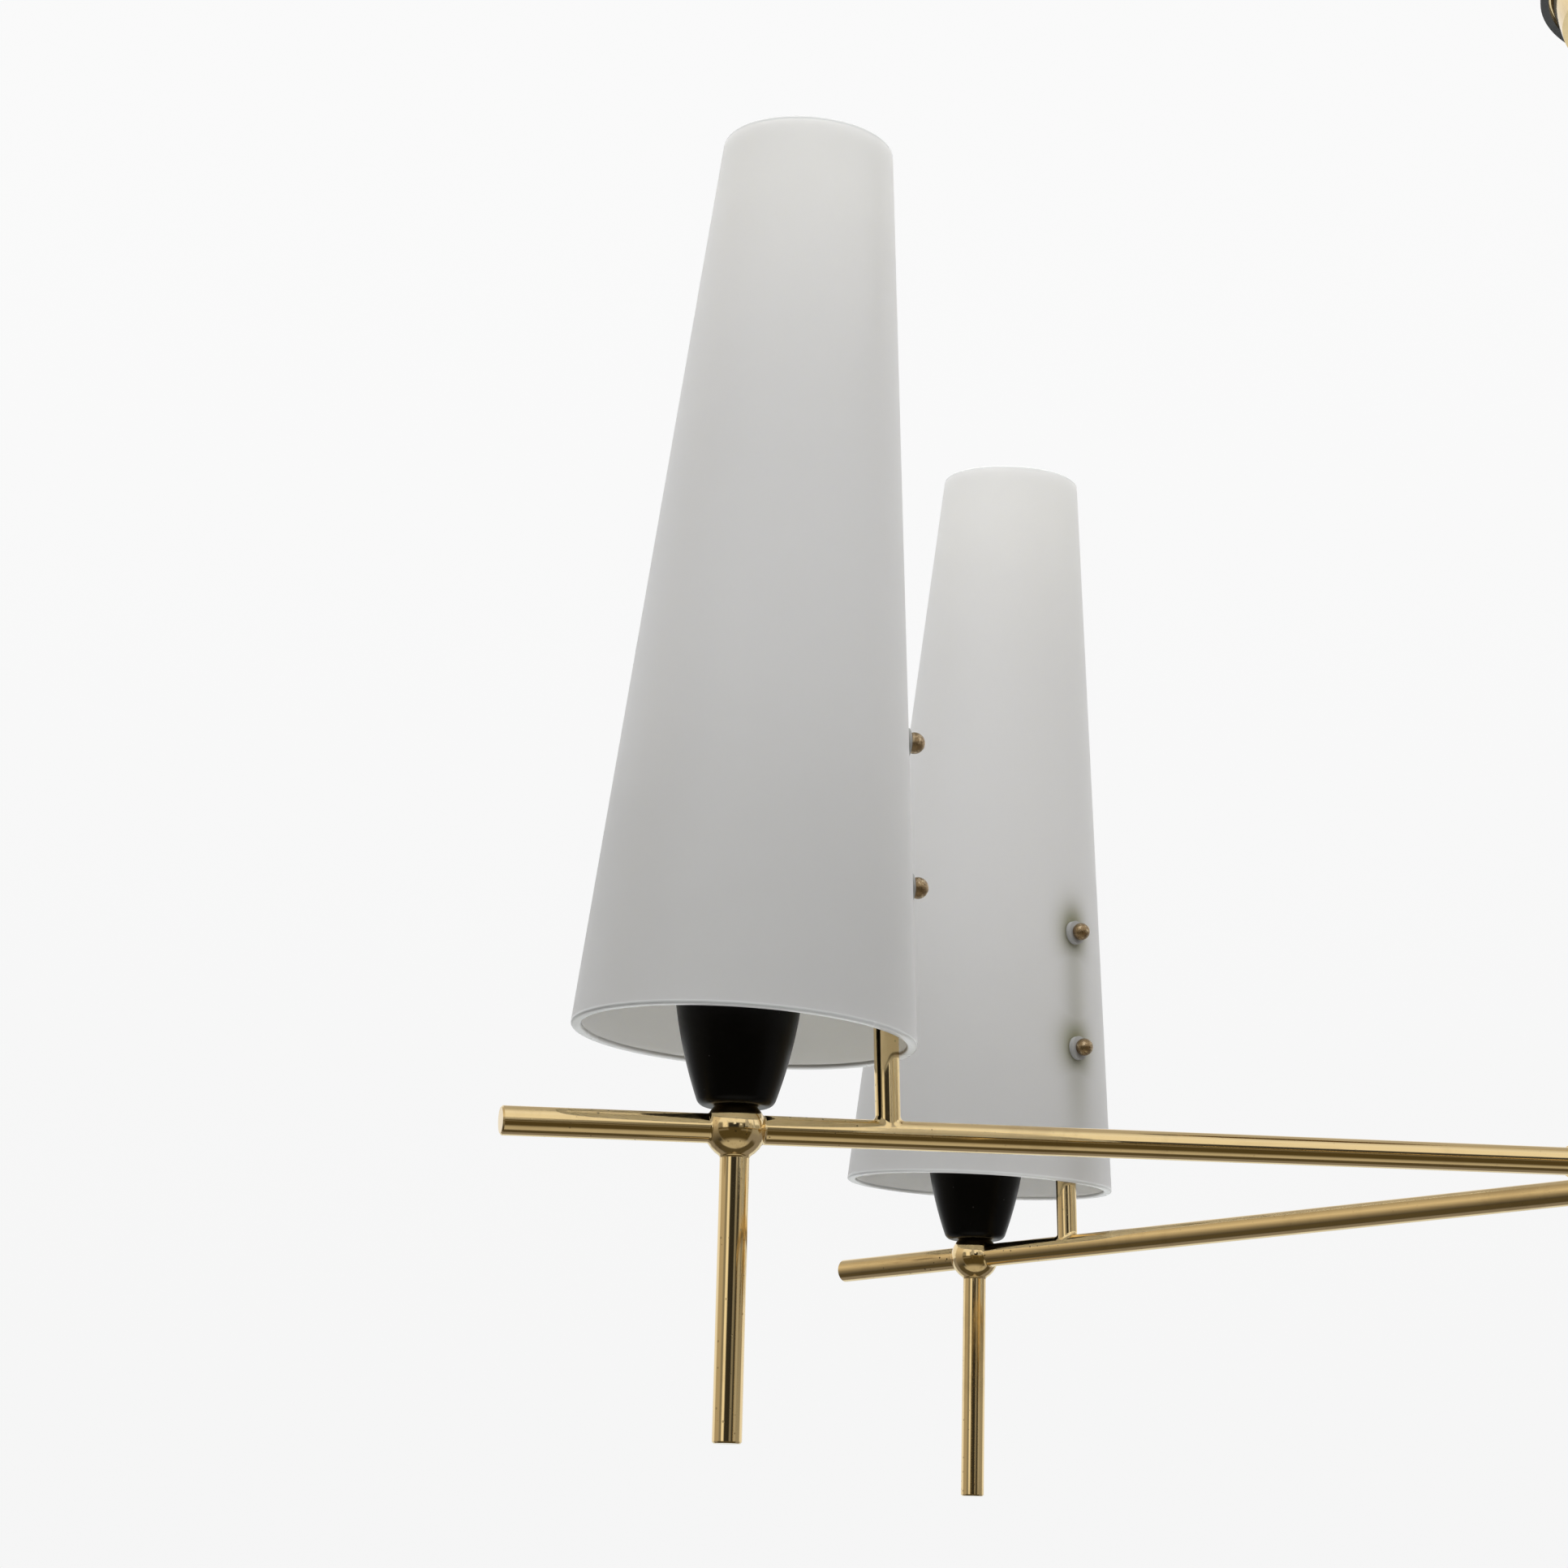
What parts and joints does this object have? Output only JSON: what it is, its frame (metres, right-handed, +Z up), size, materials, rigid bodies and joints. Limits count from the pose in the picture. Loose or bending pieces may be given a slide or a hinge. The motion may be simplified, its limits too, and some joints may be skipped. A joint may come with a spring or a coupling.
{
  "type": "chandelier",
  "caption": "Ceiling chandelier with straight brass arms on a round hub, balls and drop rods, black lamp cups and tall tapered opal glass shades held by ball-headed screws.",
  "frame": {"origin": "on the ceiling, midway between the two screw holes of the ceiling bracket, on the stem axis", "axes": "+Z up along the stem, +X along one pair of opposite arms and the row of the bracket holes"},
  "size_m": [0.8092, 0.7044, 0.528],
  "materials": {
    "polished_brass": "polished, lightly tarnished",
    "aged_brass": "dark, rubbed bright on the crown",
    "black_lacquer": "satin",
    "opal_glass": "satin outside, opal",
    "clear_plastic": "translucent grey",
    "zinc_steel": "zinc plated",
    "black_bakelite": "moulded",
    "white_plastic": "moulded",
    "cable_sheath": "matte"
  },
  "bodies": {
    "chandelier": {"arm_tube_1": "polished_brass", "shade_upright_1": "polished_brass", "lamp_cup_1": "black_lacquer", "lamp_holder_1": "black_bakelite", "shade_1": "opal_glass", "arm_tube_2": "polished_brass", "shade_upright_2": "polished_brass", "lamp_cup_2": "black_lacquer", "lamp_holder_2": "black_bakelite", "shade_2": "opal_glass", "arm_tube_3": "polished_brass", "shade_upright_3": "polished_brass", "lamp_cup_3": "black_lacquer", "lamp_holder_3": "black_bakelite", "shade_3": "opal_glass", "arm_tube_4": "polished_brass", "shade_upright_4": "polished_brass", "lamp_cup_4": "black_lacquer", "lamp_holder_4": "black_bakelite", "shade_4": "opal_glass", "arm_tube_5": "polished_brass", "shade_upright_5": "polished_brass", "lamp_cup_5": "black_lacquer", "lamp_holder_5": "black_bakelite", "shade_5": "opal_glass", "arm_tube_6": "polished_brass", "shade_upright_6": "polished_brass", "lamp_cup_6": "black_lacquer", "lamp_holder_6": "black_bakelite", "shade_6": "opal_glass", "end_balls": "polished_brass", "drop_rods": "polished_brass", "lamp_nipples": "zinc_steel", "arm_ferrules": "polished_brass", "shade_washers": "clear_plastic", "hub_drum": "polished_brass", "hub_cover": "polished_brass", "hub_finial": "polished_brass", "hub_connector": "white_plastic", "stem_tube": "polished_brass", "stem_nuts": "zinc_steel", "ceiling_bracket": "zinc_steel", "terminal_block": "white_plastic", "wiring": "cable_sheath"},
    "canopy": {"canopy_shell": "black_lacquer", "canopy_dish": "polished_brass", "canopy_collar": "polished_brass"},
    "canopy_lock_screw": {"canopy_lock_screw": "aged_brass"},
    "shade_screw_1_lower": {"shade_screw_1_lower": "aged_brass"},
    "shade_screw_1_upper": {"shade_screw_1_upper": "aged_brass"},
    "shade_screw_2_lower": {"shade_screw_2_lower": "aged_brass"},
    "shade_screw_2_upper": {"shade_screw_2_upper": "aged_brass"},
    "shade_screw_3_lower": {"shade_screw_3_lower": "aged_brass"},
    "shade_screw_3_upper": {"shade_screw_3_upper": "aged_brass"},
    "shade_screw_4_lower": {"shade_screw_4_lower": "aged_brass"},
    "shade_screw_4_upper": {"shade_screw_4_upper": "aged_brass"},
    "shade_screw_5_lower": {"shade_screw_5_lower": "aged_brass"},
    "shade_screw_5_upper": {"shade_screw_5_upper": "aged_brass"},
    "shade_screw_6_lower": {"shade_screw_6_lower": "aged_brass"},
    "shade_screw_6_upper": {"shade_screw_6_upper": "aged_brass"}
  },
  "joints": [
    {"name": "canopy_slide", "type": "slide", "parent": "chandelier", "child": "canopy", "axis": [0, 0, 1], "range_m": [-0.35, 0]},
    {"name": "canopy_lock_turn", "type": "hinge", "parent": "canopy", "child": "canopy_lock_screw", "pos_m": [0, -0.011, -0.049], "axis": [0, -1, 0], "continuous": true},
    {"name": "shade_screw_1_lower_turn", "type": "hinge", "parent": "chandelier", "child": "shade_screw_1_lower", "pos_m": [-0.28674, 0, -0.36513], "axis": [0.9992, 0, 0.0393], "continuous": true},
    {"name": "shade_screw_1_upper_turn", "type": "hinge", "parent": "chandelier", "child": "shade_screw_1_upper", "pos_m": [-0.28847, 0, -0.32116], "axis": [0.9992, 0, 0.0393], "continuous": true},
    {"name": "shade_screw_2_lower_turn", "type": "hinge", "parent": "chandelier", "child": "shade_screw_2_lower", "pos_m": [-0.14337, 0.24832, -0.36513], "axis": [0.4996, -0.8654, 0.0393], "continuous": true},
    {"name": "shade_screw_2_upper_turn", "type": "hinge", "parent": "chandelier", "child": "shade_screw_2_upper", "pos_m": [-0.14423, 0.24982, -0.32116], "axis": [0.4996, -0.8654, 0.0393], "continuous": true},
    {"name": "shade_screw_3_lower_turn", "type": "hinge", "parent": "chandelier", "child": "shade_screw_3_lower", "pos_m": [0.14337, 0.24832, -0.36513], "axis": [-0.4996, -0.8654, 0.0393], "continuous": true},
    {"name": "shade_screw_3_upper_turn", "type": "hinge", "parent": "chandelier", "child": "shade_screw_3_upper", "pos_m": [0.14423, 0.24982, -0.32116], "axis": [-0.4996, -0.8654, 0.0393], "continuous": true},
    {"name": "shade_screw_4_lower_turn", "type": "hinge", "parent": "chandelier", "child": "shade_screw_4_lower", "pos_m": [0.28674, 0, -0.36513], "axis": [-0.9992, 0, 0.0393], "continuous": true},
    {"name": "shade_screw_4_upper_turn", "type": "hinge", "parent": "chandelier", "child": "shade_screw_4_upper", "pos_m": [0.28847, 0, -0.32116], "axis": [-0.9992, 0, 0.0393], "continuous": true},
    {"name": "shade_screw_5_lower_turn", "type": "hinge", "parent": "chandelier", "child": "shade_screw_5_lower", "pos_m": [0.14337, -0.24832, -0.36513], "axis": [-0.4996, 0.8654, 0.0393], "continuous": true},
    {"name": "shade_screw_5_upper_turn", "type": "hinge", "parent": "chandelier", "child": "shade_screw_5_upper", "pos_m": [0.14423, -0.24982, -0.32116], "axis": [-0.4996, 0.8654, 0.0393], "continuous": true},
    {"name": "shade_screw_6_lower_turn", "type": "hinge", "parent": "chandelier", "child": "shade_screw_6_lower", "pos_m": [-0.14337, -0.24832, -0.36513], "axis": [0.4996, 0.8654, 0.0393], "continuous": true},
    {"name": "shade_screw_6_upper_turn", "type": "hinge", "parent": "chandelier", "child": "shade_screw_6_upper", "pos_m": [-0.14423, -0.24982, -0.32116], "axis": [0.4996, 0.8654, 0.0393], "continuous": true}
  ]
}
